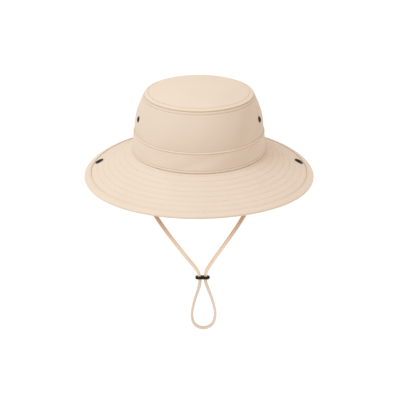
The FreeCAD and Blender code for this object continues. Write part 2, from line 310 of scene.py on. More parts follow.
def stitches(name, surface, row, material, start=0.0, end=2 * math.pi, lift=1.0, hole=HOLE):
    """Thread that shows along a row, as short bowed stitches whose ends go down into the cloth.

    surface(angle) gives the row's points, and row(angle) the cloth's outward normals there.
    """
    fine = np.linspace(start, end, 1441)
    line = surface(fine)
    run = np.concatenate([[0], np.cumsum(np.linalg.norm(np.diff(line, axis=0), axis=1))])
    count = max(1, int(run[-1] / STITCH))
    middles = np.interp((np.arange(count) + 0.5) * run[-1] / count, run, fine)
    centre = surface(middles)
    ahead = surface(middles + 1e-3) - centre
    ahead /= np.linalg.norm(ahead, axis=1, keepdims=True)
    up = row(middles)
    up -= ahead * np.sum(up * ahead, axis=1, keepdims=True)
    up /= np.linalg.norm(up, axis=1, keepdims=True)
    side = np.cross(ahead, up)
    half = 0.38 * STITCH
    stations = ((-1.0, -0.9, 0.7), (-0.72, 0.35, 1.0), (0.0, 0.75 * lift, 1.05),
                (0.72, 0.35, 1.0), (1.0, -0.9, 0.7))
    sides = 6
    turns = [2 * math.pi * k / sides for k in range(sides)]
    local = np.array([(along * half, THREAD * (height + girth * math.cos(turn)),
                       THREAD * girth * math.sin(turn))
                      for along, height, girth in stations for turn in turns])
    shape, _ = tube(range(len(stations)), range(sides + 1), flip=True)
    faces, uvs = repeated(shape, local[:, (0, 2)], count)
    thread = finish_mesh(name, copies(local, centre, ahead, up, side), faces, uvs, material)
    # Dark marks between the stitches: painted shade in the needle holes
    between = surface(middles + (end - start) / count / 2)
    holes = painted_hole_shade(name + "_hole_shade", between, ahead, side, up, hole)
    return join(name, [thread, holes])


def painted_hole_shade(name, centres, ahead, side, up, size):
    """Small dark marks where the needle went down between two stitches: painted shade for the
    shadow in the needle holes.
    """
    sides = 6
    turns = [2 * math.pi * k / sides for k in range(sides)]
    ring = [(size * math.cos(turn), size * math.sin(turn), 0.01 * MM) for turn in turns]
    local = np.array(ring + [(0, 0, 0.05 * MM), (0, 0, -0.2 * MM)])
    shape = []
    for k in range(sides):
        m = (k + 1) % sides
        shape += [(m, k, sides), (k, m, sides + 1)]
    faces, uvs = repeated(shape, [(0, 0)] * len(local), len(centres))
    return finish_mesh(name, copies(local, centres, ahead, side, up), faces, uvs, HOLE_SHADE_MATERIAL)


def join(name, pieces):
    """Makes one object of several."""
    bpy.ops.object.select_all(action="DESELECT")
    for piece in pieces:
        piece.select_set(True)
    bpy.context.view_layer.objects.active = pieces[0]
    bpy.ops.object.join()
    pieces[0].name = name
    pieces[0].data.name = name
    return pieces[0]


def lathe(name, profile, place, material, steps=48):
    """A round piece turned from (radius, height) points, closed on itself, and put at a place."""
    turns = [2 * math.pi * i / steps for i in range(steps)]
    local = np.array([(radius * math.cos(turn), radius * math.sin(turn), height)
                      for turn in turns for radius, height in profile])
    faces, _ = tube(range(steps + 1), range(len(profile) + 1), closed=True)
    uvs = [local[k, :2] for face in faces for k in face]
    matrix = np.array(place)
    return finish_mesh(name, local @ matrix[:3, :3].T + matrix[:3, 3], faces, uvs, material)


def place_at(position, normal):
    """A placement whose own Z axis is the cloth's normal."""
    turn = Vector((0, 0, 1)).rotation_difference(Vector(normal)).to_matrix().to_4x4()
    return Matrix.Translation(Vector(position)) @ turn


def rounded(points, radius, steps=4):
    """Rounds the corners of a closed outline."""
    result = []
    count = len(points)
    for i in range(count):
        before, here, after = (np.array(points[(i + k) % count]) for k in (-1, 0, 1))
        back, ahead = before - here, after - here
        reach = min(radius, 0.45 * np.linalg.norm(back), 0.45 * np.linalg.norm(ahead))
        start = here + back / np.linalg.norm(back) * reach
        end = here + ahead / np.linalg.norm(ahead) * reach
        for k in range(steps + 1):
            t = k / steps
            result.append(tuple((1 - t) ** 2 * start + 2 * t * (1 - t) * here + t * t * end))
    return result


# ---- materials

def new_material(name):
    material = bpy.data.materials.new(name)
    material.use_nodes = True
    tree = material.node_tree
    return material, tree, tree.nodes["Principled BSDF"]


def node(tree, kind, values=None, **settings):
    made = tree.nodes.new(kind)
    for key, value in settings.items():
        setattr(made, key, value)
    for key, value in (values or {}).items():
        made.inputs[key].default_value = value
    return made


def maths(tree, operation, first, second=None):
    made = tree.nodes.new("ShaderNodeMath")
    made.operation = operation
    for slot, value in enumerate((first, second)):
        if value is None:
            continue
        if isinstance(value, (int, float)):
            made.inputs[slot].default_value = value
        else:
            tree.links.new(value, made.inputs[slot])
    return made.outputs[0]


def cloth_places(tree):
    """The lengths along and across the cloth, from its texture places."""
    split = node(tree, "ShaderNodeSeparateXYZ")
    tree.links.new(node(tree, "ShaderNodeUVMap", uv_map="cloth").outputs[0], split.inputs[0])
    return split.outputs[0], split.outputs[1]


def noise(tree, scale, detail, roughness=0.5):
    """Noise that is fixed to the piece."""
    made = node(tree, "ShaderNodeTexNoise",
                {"Scale": scale, "Detail": detail, "Roughness": roughness})
    tree.links.new(node(tree, "ShaderNodeTexCoord").outputs["Object"], made.inputs["Vector"])
    return made.outputs[0]


def emboss(tree, shader, height, strength, distance):
    relief = node(tree, "ShaderNodeBump", {"Strength": strength, "Distance": distance})
    tree.links.new(height, relief.inputs["Height"])
    tree.links.new(relief.outputs[0], shader.inputs["Normal"])


def paint(tree, shader, shade, bright):
    """Colours a material by a shade node, made brighter and darker by a factor."""
    tree.links.new(bright, shade.inputs["Scale"])
    tree.links.new(shade.outputs[0], shader.inputs["Base Color"])


def paint_between(tree, shader, value, dark, light, low=0.0, high=1.0):
    """Colours a material dark where a value is low, and light where it is high."""
    ramp = node(tree, "ShaderNodeValToRGB")
    for stop, place, colour in zip(ramp.color_ramp.elements, (low, high), (dark, light)):
        stop.position = place
        stop.color = (*colour, 1)
    tree.links.new(value, ramp.inputs[0])
    tree.links.new(ramp.outputs[0], shader.inputs["Base Color"])


def set_inputs(shader, **values):
    for name, value in values.items():
        shader.inputs[name.replace("_", " ")].default_value = value


def cloth_material(name, colour, thread=0.42 * MM, roughness=0.88, sheen=0.22, bump=0.5,
                   shade_tint=(0.72, 0.56, 0.40)):
    """Plain woven cloth: crossing threads, uneven yarn, a slow drift of colour, and painted shade.

    The painted shade multiplies the colour by the last argument's factors where the mesh's shade
    attribute is 1, in seams and creases.
    """
    material, tree, shader = new_material(name)
    turns = math.pi / thread
    warp, weft = (maths(tree, "SINE", maths(tree, "MULTIPLY", place, turns))
                  for place in cloth_places(tree))
    weave = maths(tree, "MULTIPLY", warp, weft)
    slub = noise(tree, 900.0, 2.0, 0.6)
    drift = noise(tree, 22.0, 3.0, 0.55)
    height = maths(tree, "ADD", maths(tree, "MULTIPLY", weave, 0.5), slub)
    emboss(tree, shader, height, bump, 0.06 * MM)
    bright = maths(tree, "MULTIPLY", weave, 0.018)
    for value, share in ((slub, 0.08), (drift, 0.07)):
        uneven = maths(tree, "MULTIPLY", maths(tree, "SUBTRACT", value, 0.5), share)
        bright = maths(tree, "ADD", bright, uneven)
    # Painted shade: the colour is darkened and browned where the mesh's shade attribute is high
    painted_shade = node(tree, "ShaderNodeAttribute", attribute_type="GEOMETRY", attribute_name="painted_shade")
    tint = node(tree, "ShaderNodeMix", data_type="RGBA")
    tint.inputs[6].default_value = (*colour, 1)
    tint.inputs[7].default_value = (*(part * share for part, share in zip(colour, shade_tint)), 1)
    tree.links.new(painted_shade.outputs["Fac"], tint.inputs[0])
    shade = node(tree, "ShaderNodeVectorMath", operation="SCALE")
    tree.links.new(tint.outputs[2], shade.inputs[0])
    paint(tree, shader, shade, maths(tree, "ADD", bright, 1.0))
    set_inputs(shader, Roughness=roughness, Specular_IOR_Level=0.25, Sheen_Weight=sheen,
               Sheen_Roughness=0.45, Sheen_Tint=(1.0, 0.95, 0.88, 1.0))
    return material


def thread_material(name, colour):
    """Twisted sewing thread: fine slanting ridges and a little gloss."""
    material, tree, shader = new_material(name)
    along, across = (maths(tree, "MULTIPLY", place, 2 * math.pi / pitch)
                     for place, pitch in zip(cloth_places(tree), (0.5 * MM, 0.6 * MM)))
    ridge = maths(tree, "SINE", maths(tree, "ADD", along, across))
    emboss(tree, shader, ridge, 0.6, 0.05 * MM)
    shade = node(tree, "ShaderNodeVectorMath", {0: colour}, operation="SCALE")
    paint(tree, shader, shade, maths(tree, "ADD", maths(tree, "MULTIPLY", ridge, 0.05), 1.0))
    set_inputs(shader, Roughness=0.6, Sheen_Weight=0.15)
    return material


def black_metal():
    """Black enamelled metal, rubbed a little brighter and smoother in patches."""
    material, tree, shader = new_material("black_metal")
    wear = noise(tree, 260.0, 4.0, 0.65)
    paint_between(tree, shader, wear, (0.006, 0.005, 0.005), (0.024, 0.020, 0.017), 0.42, 0.78)
    rough = node(tree, "ShaderNodeMapRange", {"To Min": 0.24, "To Max": 0.46})
    tree.links.new(wear, rough.inputs[0])
    tree.links.new(rough.outputs[0], shader.inputs["Roughness"])
    emboss(tree, shader, wear, 0.12, 0.05 * MM)
    set_inputs(shader, Specular_IOR_Level=0.2)
    return material


def bead_plastic():
    """Moulded black plastic with a fine satin grain."""
    material, tree, shader = new_material("bead_plastic")
    grain = noise(tree, 1500.0, 2.0)
    paint_between(tree, shader, grain, (0.007, 0.005, 0.004), (0.014, 0.010, 0.007))
    emboss(tree, shader, grain, 0.2, 0.04 * MM)
    set_inputs(shader, Roughness=0.34, Specular_IOR_Level=0.2)
    return material


SAND = (0.660, 0.540, 0.430)
TIP_CLOTH = cloth_material("crown_tip_cloth", SAND)
# The same sand cloth as the tip and brim, made darker on the crown wall as painted shade
SHADED_CROWN_CLOTH = cloth_material("crown_cloth", (0.625, 0.505, 0.397))
BRIM_CLOTH = cloth_material("brim_cloth", SAND)
BAND_CLOTH = cloth_material("band_cloth", SAND)
SWEATBAND_CLOTH = cloth_material("sweatband_cloth", (0.56, 0.455, 0.345), 0.6 * MM, 0.95, 0.35, 0.7)
TAPE_CLOTH = cloth_material("tape_cloth", (0.52, 0.415, 0.305), 0.5 * MM, 0.9, 0.2, 0.8)
FELT = cloth_material("interlining_felt", (0.66, 0.64, 0.59), 0.9 * MM, 0.97, 0.3, 0.4)
# The strands' pale cord colour; near the brim it is darkened by painted shade
CORD_BRAID = cloth_material("cord_braid", (0.900, 0.730, 0.590), 0.3 * MM, 0.8, 0.25, 0.3,
                            shade_tint=(0.60, 0.44, 0.33))
# A darker copy of the same cord for the loop: painted shade, as the loop is otherwise lit more
# brightly than the strands
SHADED_LOOP_BRAID = cloth_material("cord_loop_braid_painted_shade", (0.735, 0.610, 0.510), 0.3 * MM, 0.8, 0.25, 0.3)
THREAD_MATERIAL = thread_material("sewing_thread", (0.640, 0.485, 0.350))
BRIM_THREAD = thread_material("brim_thread", (0.720, 0.590, 0.475))
# Painted shade: a dark colour for the shadow in the needle holes between stitches
HOLE_SHADE_MATERIAL = thread_material("painted_needle_shade", (0.400, 0.250, 0.140))
BLACK_METAL = black_metal()
BEAD_PLASTIC = bead_plastic()


def row_round(name, surface, place, depth, normal, facing=1, material=THREAD_MATERIAL, **settings):
    """A stitch row round the hat, at one place and depth of a surface.

    facing is 1 for thread on the cloth's outer side, and -1 for its inner side.
    """
    return stitches(name, lambda a: surface(a, place + 0 * a, depth + 0 * a),
                    lambda a: facing * normal(a, place), material, **settings)


def sew_to_hat(slot, *pieces):
    """Puts pieces on the hat's own body. The slot is not used."""
    for piece in pieces:
        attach(piece, "hat")


# ---- camera

CAMERA_PLACE = (1.27 * MM, -1.51219, 0.52277)
CAMERA_PITCH = math.radians(21.537)
CAMERA_LENS = 109.66


def make_camera():
    camera = bpy.data.objects.new("camera", bpy.data.cameras.new("camera"))
    camera.data.lens = CAMERA_LENS
    camera.data.sensor_width = 36.0
    camera.location = CAMERA_PLACE
    camera.rotation_euler = (math.pi / 2 - CAMERA_PITCH, 0, 0)
    bpy.context.scene.collection.objects.link(camera)
    bpy.context.scene.camera = camera


# ---- chin cord

CORD_WIDTH = 5.4 * MM
CORD_THICKNESS = 2.5 * MM
# The cord's control points (x, z) in millimetres, from the crown to the bead and round the loop
RIGHT_ROUTE = [(-80.0, 9), (-80.6, -16), (-77, -48), (-68, -79), (-52.5, -107), (-35, -133),
               (-15.5, -160), (-6.3, -171.4), (-0.4, -180.4), (0.7, -187.8)]
LEFT_ROUTE = [(80.0, 9), (80.5, -15), (77.5, -47), (69.5, -78), (55.5, -106), (38.5, -133),
              (20.5, -160), (13.4, -171.6), (8.8, -180.4), (8.7, -187.8)]
LOOP_ROUTE = [(0.7, -187.8), (1.7, -194.5), (-0.6, -205), (-6, -222), (-10.2, -240.5),
              (-9.4, -253.9), (-4.8, -261.4), (3, -265.4), (11.7, -264.6), (18.7, -259.4),
              (21.8, -251.2), (22.6, -239), (18.2, -221.5), (12.2, -204.5), (8.6, -195),
              (8.7, -187.8)]
# The braid's colour has painted shade above SHADED_Z, easing off to none at the lower height
SHADED_Z = -88 * MM
UNSHADED_Z = -152 * MM
STRANDS = 12
PLAIT_LENGTH = 4.6 * MM
PLAIT_RISE = 0.16 * MM
BEAD_SQUEEZE = 0.16
PINCH_REACH = 0.05


def smooth_line(name, route):
    """The points of a smooth curve whose control points are a route, read back from Blender."""
    curve = bpy.data.curves.new(name, "CURVE")
    curve.dimensions = "3D"
    curve.resolution_u = 16
    spline = curve.splines.new("NURBS")
    spline.points.add(len(route) - 1)
    for point, (x, z) in zip(spline.points, route):
        point.co = (x * MM, 0, z * MM, 1)
    spline.order_u = 3
    spline.use_endpoint_u = True
    holder = bpy.data.objects.new(name, curve)
    bpy.context.scene.collection.objects.link(holder)
    mesh = bpy.data.meshes.new_from_object(holder)
    points = np.array([v.co for v in mesh.vertices])
    bpy.data.objects.remove(holder)
    return points


def evenly(points, step):
    run = np.concatenate([[0], np.cumsum(np.linalg.norm(np.diff(points, axis=0), axis=1))])
    count = max(2, round(run[-1] / step)) + 1
    places = np.linspace(0, run[-1], count)
    return np.stack([np.interp(places, run, points[:, k]) for k in range(3)], -1), places


def braid(name, route, twist, pinch, material):
    """A flat braided cord, with painted shade in its colour above, where the brim's shadow would
    fall on it.

    twist(share) is how far its flat face has turned from the front, in radians, and pinch(share)
    how much the bead squeezes its width.
    """
    points, run = evenly(smooth_line(name + "_line", route), 0.45 * MM)
    ahead = np.gradient(points, axis=0)
    ahead /= np.linalg.norm(ahead, axis=1, keepdims=True)
    depth = np.array([0.0, 1.0, 0.0])
    side = np.cross(ahead, depth)
    side /= np.linalg.norm(side, axis=1, keepdims=True)
    turn = twist(run / run[-1])[:, None]
    wide = side * np.cos(turn) + depth * np.sin(turn)
    thin = depth * np.cos(turn) - side * np.sin(turn)
    sides = 36
    angle = 2 * math.pi * np.arange(sides) / sides
    plait = STRANDS * angle[None] / 2
    rise = 2 * math.pi * run[:, None] / PLAIT_LENGTH
    over = np.abs(np.sin(plait + rise / 2)) ** 0.7 + np.abs(np.sin(plait - rise / 2)) ** 0.7
    proud = PLAIT_RISE * (over - 1.2)
    width = 1 - BEAD_SQUEEZE * pinch(run / run[-1])[:, None]
    flatness = 0.8
    x, y = (np.sign(out) * np.abs(out) ** flatness * (size / 2 - 0.1 * MM) + proud * out
            for out, size in ((np.cos(angle), CORD_WIDTH), (np.sin(angle), CORD_THICKNESS)))
    verts = points[:, None] + wide[:, None] * (width * x)[..., None] + thin[:, None] * y[..., None]
    girth = 0.36 * MM
    faces, uvs = tube(run, girth * np.arange(sides + 1), flip=True)
    # Painted shade along the cord: full above SHADED_Z, easing to none at the lower height
    shaded = np.clip((points[:, 2] - UNSHADED_Z) / (SHADED_Z - UNSHADED_Z), 0, 1)
    shaded = np.repeat(shaded ** 2 * (3 - 2 * shaded), sides)
    piece = finish_mesh(name, verts.reshape(-1, 3), faces, uvs, material, painted_shade=shaded)
    return piece, points, run[-1]


def hang(name, route, twist, pinch, material):
    """One stretch of the cord, squeezed a little in width where the bead holds it."""
    piece, points, length = braid(f"chin_cord_{name}_braid", route, twist, pinch, material)
    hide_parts(f"chin_cord_{name}")
    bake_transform(piece)


def strand_pinch(share):
    return near(1 - share, PINCH_REACH)


def make_cord():
    """Two strands that leave the crown's sides, and the loop under the bead."""
    slider = bpy.data.objects["cord_slider"]
    slider.data.materials.clear()
    slider.data.materials.append(BEAD_PLASTIC)
    hang("right", RIGHT_ROUTE, lambda s: 0.15 + 0.35 * np.clip((s - 0.55) / 0.45, 0, 1) ** 1.5,
         strand_pinch, CORD_BRAID)
    hang("left", LEFT_ROUTE, lambda s: -0.15 - 0.35 * np.clip((s - 0.5) / 0.5, 0, 1) ** 1.5,
         strand_pinch, CORD_BRAID)
    hang("loop", LOOP_ROUTE, lambda s: 0.35 + 0.75 * np.sin(math.pi * s) ** 0.8,
         lambda s: near(np.minimum(s, 1 - s), PINCH_REACH), SHADED_LOOP_BRAID)


# ---- crown

# Stitch rows, the felled seam at the back, and the hollow at the front left
SEAM_ROW_Z = SEAM_Z - 3.1 * MM
TIP_STITCH = 5.2 * MM
BAND_ROWS = [3.0 * MM, BAND_TOP - 2.3 * MM]
PUCKERS = 150
BACK_ARC = 80 * MM
BACK_ROW = 2.1 * MM
FELL_HALF_WIDTH = 3.3 * MM
HOLLOW_ANGLE = math.radians(-38)
HOLLOW_DEPTH = 3.6 * MM
HOLLOW_RIDGE = 0.9 * MM


def riveted(angle, z):
    """How cloth is drawn in under each crown stud, and swells a little in front of it."""
    rise = z - STUD_HEIGHT
    total = 0
    for snap, beside in ((SNAP_ANGLE, 1), (math.pi - SNAP_ANGLE, -1)):
        along = beside * arc(angle, snap)
        total = (total - 0.75 * MM * near(np.hypot(along, rise), 7.0 * MM)
                 + 0.75 * MM * near(along + 10.5 * MM, 8 * MM) * near(rise, 16 * MM))
    return total


def hollow(angle, z):
    """The slack in the cloth at the front left, where the wall falls in a little on a slant."""
    slant = arc(angle, HOLLOW_ANGLE) - 0.55 * (z - 50 * MM)
    reach = np.where(slant < 0, 14 * MM, 23 * MM)
    return (HOLLOW_DEPTH * near(slant, reach) * near(z - 44 * MM, 30 * MM)
            - HOLLOW_RIDGE * near(slant + 4 * MM, 4.5 * MM) * near(z - 42 * MM, 13 * MM))


def slack(angle, z):
    """How far the wall's cloth and all that is sewn to it stand out from the plain oval.

    Its soft waves are calm at the seams, and still at the sides and at the front.
    """
    up = np.clip((z - BAND_TOP) / (SEAM_Z - BAND_TOP), 0, 1)
    calm = np.sin(math.pi * up) ** 0.8
    still = np.clip(1.1 - near(np.sin(angle), 0.35), 0, 1)
    still = still * np.clip(np.cos((angle - BACK) / 2) ** 2 * 8, 0, 1)
    soft = 0.45 * MM * waves(angle * BASE + 0.6 * z, z, 75 * MM, 11) * calm * still
    return soft + riveted(angle, z) - hollow(angle, z) * calm


def wall_surface(angle, z, depth):
    """The crown wall: soft hollows, and cloth folded back under a stitch row at the tip seam.

    Its own upright seam is felled flat at the back.
    """
    allowance = 0.42 * MM * bulge(z, SEAM_ROW_Z, SEAM_Z + 0.5 * MM)
    allowance = allowance + 0.2 * MM * bulge(z, SEAM_ROW_Z - 5 * MM, SEAM_ROW_Z)
    dip = 0.10 * MM * near(z - SEAM_ROW_Z, 0.6 * MM)
    pull = 0.05 * MM * np.sin(angle * PUCKERS) * near(z - SEAM_ROW_Z, 2.0 * MM)
    felled = near(arc(angle, BACK, BACK_ARC) ** 2, FELL_HALF_WIDTH ** 2)
    allowance = allowance + 0.4 * MM * felled
    outside = np.clip(1 - depth / (0.6 * WALL), 0, 1)
    relief = (allowance - dip + pull) * outside * (z > BAND_TOP)
    return oval(angle, wall_radius(z) - depth + relief + slack(angle, z), z)


def tip_surface(angle, share, depth):
    """The domed tip panel, from its rim at share 1 to its crest at share 0."""
    radius = share * SEAM_RADIUS
    z = SEAM_Z + TIP_RISE * (1 - share ** TIP_POWER) + WALL - depth
    down = (1 - share) * SEAM_RADIUS
    allowance = 0.40 * MM * bulge(down, -0.6 * MM, TIP_STITCH)
    allowance = allowance + 0.2 * MM * bulge(down, TIP_STITCH, TIP_STITCH + 6 * MM)
    dip = 0.10 * MM * near(down - TIP_STITCH, 0.6 * MM)
    pull = 0.05 * MM * np.sin(angle * PUCKERS) * near(down - TIP_STITCH, 2.0 * MM)
    x, y = radius * np.cos(angle), radius * np.sin(angle)
    soft = 0.5 * MM * waves(x, y, 80 * MM, 21) * (1 - share ** 4)
    aside = np.hypot(x - 50 * MM, y + 36 * MM)
    soft = soft - 1.5 * MM * near(aside, 17 * MM) * (1 - share ** 6)
    outside = np.clip(1 - depth / (0.6 * WALL), 0, 1)
    return oval(angle, radius, z + (allowance - dip + pull) * outside + soft)


def make_crown():
    outer = [(z, 0.0) for z in spread(0.0, SEAM_Z - 0.9 * MM, [SEAM_ROW_Z])]
    lip = [(SEAM_Z - 0.35 * MM, 0.03 * MM), (SEAM_Z - 0.12 * MM, 0.14 * MM),
           (SEAM_Z - 0.01 * MM, 0.4 * MM)]
    inner = [(z, WALL) for z in np.linspace(SEAM_Z - 0.6 * MM, 0.0, 24)]
    wall = ring_piece("crown_wall_panel", wall_surface, outer + lip + inner, SHADED_CROWN_CLOTH,
                      painted_shade=wall_painted_shade)
    pierce(wall)
    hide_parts("crown_side")

    downs = spread(0.9 * MM, SEAM_RADIUS - 1.5 * MM, [TIP_STITCH])
    edge = [(1 - down / SEAM_RADIUS, depth) for down, depth in (
        (0.12 * MM, 1.14 * MM), (0.02 * MM, 0.9 * MM), (0.0, 0.55 * MM), (0.12 * MM, 0.2 * MM),
        (0.5 * MM, 0.03 * MM))]
    top = [(1 - down / SEAM_RADIUS, 0.0) for down in downs]
    under = [(s, WALL) for s in np.linspace(top[-1][0], 1 - 1.2 * MM / SEAM_RADIUS, 22)]
    tip = ring_piece("crown_tip_panel", tip_surface, edge + top + under, TIP_CLOTH,
                     painted_shade=tip_painted_shade)
    crest = len(edge) + len(top)
    close_crest(tip, crest - 1, crest, crest + len(under))
    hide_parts("crown_top")

    rows = [row_round("seam_row_wall", wall_surface, SEAM_ROW_Z, 0, wall_normal),
            row_round("seam_row_tip", tip_surface, 1 - TIP_STITCH / SEAM_RADIUS, 0, tip_normal)]
    for aside in (-BACK_ROW, BACK_ROW):
        rows.append(stitches("back_row",
                             lambda z, a=BACK + aside / BACK_ARC: wall_surface(a + 0 * z, z, 0 * z),
                             lambda z: wall_normal(BACK + 0 * z, z), THREAD_MATERIAL,
                             BAND_TOP + 1.5 * MM, SEAM_ROW_Z - 1.5 * MM))
    sew_to_hat("crown_cloth", wall, tip, join("crown_seam_stitches", rows))


# Painted shade on the crown wall: darker colour in the tip seam and along its stitch row
def wall_painted_shade(z, depth):
    return (0.35 * near(np.maximum(SEAM_Z - z, 0), 0.4 * MM)
            + 0.40 * near(z - SEAM_ROW_Z, 0.4 * MM))


# Painted shade on the tip: darker colour in the seam at its rim and along its stitch row
def tip_painted_shade(share, depth):
    down = (1 - share) * SEAM_RADIUS
    return 0.35 * near(down, 0.4 * MM) + 0.40 * near(down - TIP_STITCH, 0.5 * MM)


def pierce(wall):
    """Cuts the four holes that the eyelets' barrels pass through."""
    cutters = []
    for side in SIDES.values():
        for angle in EYELETS.values():
            bpy.ops.mesh.primitive_cylinder_add(vertices=32, radius=2.4 * MM, depth=12 * MM)
            cutters.append(bpy.context.object)
            cutters[-1].matrix_world = wall_place(side, angle, EYELET_HEIGHT)
    cutter = join("cutter", cutters)
    cut = wall.modifiers.new("cut", "BOOLEAN")
    cut.operation, cut.solver, cut.object = "DIFFERENCE", "EXACT", cutter
    settle(wall)
    wall.data.attributes.remove(wall.data.attributes["custom_normal"])
    bpy.data.objects.remove(cutter)


def settle(piece):
    """Applies a piece's modifiers."""
    finished = piece.evaluated_get(bpy.context.evaluated_depsgraph_get())
    mesh = bpy.data.meshes.new_from_object(finished)
    piece.modifiers.clear()
    piece.data = mesh


def close_crest(tip, first, second, corners):
    """Pulls the tip panel's two innermost rings to its axis, where the cloth is whole."""
    for ring in (first, second):
        rim = list(tip.data.vertices)[ring::corners]
        centre = sum((vertex.co for vertex in rim), Vector((0, 0, 0))) / len(rim)
        for vertex in rim:
            vertex.co = centre
    merge = tip.modifiers.new("merge", "WELD")
    merge.merge_threshold = 1e-6
    settle(tip)


def wall_normal(angle, z):
    rise = (wall_radius(z + MM) - wall_radius(z - MM)) / (2 * MM)
    return np.stack([np.cos(angle), np.sin(angle) / RATIO, 0 * angle - rise], -1)


def tip_normal(angle, share):
    """The tip's outward normal near its rim, where share is close to 1."""
    fall = TIP_RISE * TIP_POWER / SEAM_RADIUS
    return np.stack([fall * np.cos(angle), fall * np.sin(angle) / RATIO, 1 + 0 * angle], -1)


def band_surface(angle, z, lift):
    """The hat band, which stands lift off the wall and follows two stitch rows."""
    low_row, high_row = BAND_ROWS
    gap = thread_rows(z, BAND_ROWS)
    outside = np.clip(lift / BAND, 0, 1) ** 2
    dip = (0.12 * near(gap, 0.6 * MM) - 0.04 * np.sin(angle * PUCKERS) * near(gap, 2.2 * MM)) * MM
    dip = dip - 0.45 * MM * bulge(z, -0.6 * MM, low_row)
    dip = dip - 0.30 * MM * bulge(z, high_row, BAND_TOP + 0.3 * MM)
    soft = 0.30 * MM * waves(angle * BASE, z * 2.0, 60 * MM, 31) * np.sin(math.pi * z / BAND_TOP)
    slant = arc(angle, math.radians(-42)) - 0.9 * (z - 12 * MM)
    fold = arc(angle, math.radians(-92)) - 2.6 * (z - 12 * MM)
    fallen = 0.9 * near(slant, 13 * MM) + 0.45 * near(fold, 16 * MM)
    soft = soft - fallen * MM * bulge(z, 2 * MM, 24 * MM)
    return oval(angle, wall_radius(z) + lift + (soft - dip) * outside, z)


# Painted shade on the band: darker colour at its foot and along its two stitch rows
def band_painted_shade(z, lift):
    return 0.4 * near(z, 0.4 * MM) + 0.40 * near(thread_rows(z, BAND_ROWS), 0.4 * MM)


def make_band():
    lift = BAND + 0.05 * MM
    low, high = 0.05 * MM, BAND_TOP
    outer = [(z, lift) for z in spread(low + 0.45 * MM, high - 0.75 * MM, BAND_ROWS)]
    top = [(high - 0.5 * MM, 0.95 * lift), (high - 0.2 * MM, 0.72 * lift), (high, 0.4 * lift),
           (high + 0.08 * MM, 0.06 * MM)]
    inner = [(z, 0.06 * MM) for z in np.linspace(high - 2 * MM, low + 2 * MM, 10)]
    foot = [(low, 0.3 * lift), (low + 0.1 * MM, 0.85 * lift)]
    band = ring_piece("hat_band_cloth", band_surface, outer + top + inner + foot, BAND_CLOTH,
                      painted_shade=band_painted_shade)
    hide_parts("hat_band")
    threads = [row_round(f"band_row_{number}", band_surface, z, lift, wall_normal)
               for number, z in enumerate(BAND_ROWS)]
    sew_to_hat("band_cloth", band, join("hat_band_stitches", threads))


# ---- inside the crown

LINING_GAP = 0.15 * MM
SWEATBAND = 1.2 * MM
TAPE = 0.8 * MM
TAPE_WIDTH = 10.0 * MM
SWEATBAND_ROW = SWEATBAND_TOP - 2.5 * MM
TAPE_ROW = 3.4 * MM
INNER_LIFT = 1.2


def lining_surface(angle, z, depth):
    """Cloth inside the wall, at a depth from the wall's outer face, with small upright folds."""
    inside = np.clip((depth - WALL - LINING_GAP) / SWEATBAND, 0, 1)
    folds = 0.22 * MM * around(angle, 22 * MM, 41)
    folds = folds * np.sin(math.pi * np.clip(z / SWEATBAND_TOP, 0, 1))
    dip = 0.2 * MM * near(z - SWEATBAND_ROW, 0.7 * MM)
    return oval(angle, wall_radius(z) + slack(angle, z) - depth + (folds + dip) * inside, z)


def make_lining():
    face = WALL + LINING_GAP
    heights = spread(0.6 * MM, SWEATBAND_TOP - 0.5 * MM, [SWEATBAND_ROW])
    inner = [(z, face + SWEATBAND) for z in reversed(heights)]
    foot = [(0.1 * MM, face + 0.8 * SWEATBAND), (0.0, face + 0.4 * SWEATBAND)]
    outer = [(z, face) for z in np.linspace(0.3 * MM, SWEATBAND_TOP - 0.3 * MM, 14)]
    top = [(SWEATBAND_TOP, face + 0.4 * SWEATBAND),
           (SWEATBAND_TOP - 0.1 * MM, face + 0.8 * SWEATBAND)]
    sweatband = ring_piece("sweatband_cloth", lining_surface, inner + foot + outer + top,
                           SWEATBAND_CLOTH)
    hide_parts("sweatband")
    thread = row_round("sweatband_stitches", lining_surface, SWEATBAND_ROW, face + SWEATBAND,
                       wall_normal, -1, lift=INNER_LIFT)
    sew_to_hat("sweatband_cloth", sweatband, thread)

    low, high = SEAM_Z - TAPE_WIDTH, SEAM_Z - 0.4 * MM
    section = rounded([(low, face), (high, face), (high, face + TAPE), (low, face + TAPE)],
                      0.35 * MM)
    tape = ring_piece("tip_seam_tape_cloth", tape_surface, section[::-1], TAPE_CLOTH)
    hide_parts("tip_seam_tape")
    middle = (low + high) / 2
    rows = [row_round(f"tape_row_{number}", tape_surface, z, face + TAPE, wall_normal, -1,
                      lift=INNER_LIFT)
            for number, z in enumerate((middle - TAPE_ROW, middle + TAPE_ROW))]
    thread = join("tip_seam_tape_stitches", rows)
    back = back_tape(face)
    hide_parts("back_seam_tape")
    sew_to_hat("tape", tape, thread, back)


def tape_surface(angle, z, depth):
    return oval(angle, wall_radius(z) + slack(angle, z) - depth, z)


def back_tape(face):
    """The upright tape over the wall's seam at the back, a little crowned across its width."""
    low, high = SWEATBAND_TOP + 0.1 * MM, SEAM_Z - TAPE_WIDTH - 0.1 * MM
    heights = np.linspace(low, high, 40)
    half = TAPE_WIDTH / 2
    outline = rounded([(-half, 0.0), (half, 0.0), (half, TAPE), (-half, TAPE)], 0.35 * MM)
    verts = []
    for z in heights:
        radius = wall_radius(z) + slack(np.array(BACK), z) - face
        for x, depth in outline:
            crown = 0.15 * MM * (1 - (x / half) ** 2) * (depth > TAPE / 2)
            verts.append((x, RATIO * math.sqrt(radius ** 2 - x ** 2) - depth - crown, z))
    faces, uvs = tube(heights, [x for x, depth in outline + outline[:1]])
    return finish_mesh("back_seam_tape_cloth", np.array(verts), faces, uvs, TAPE_CLOTH)


# ---- brim

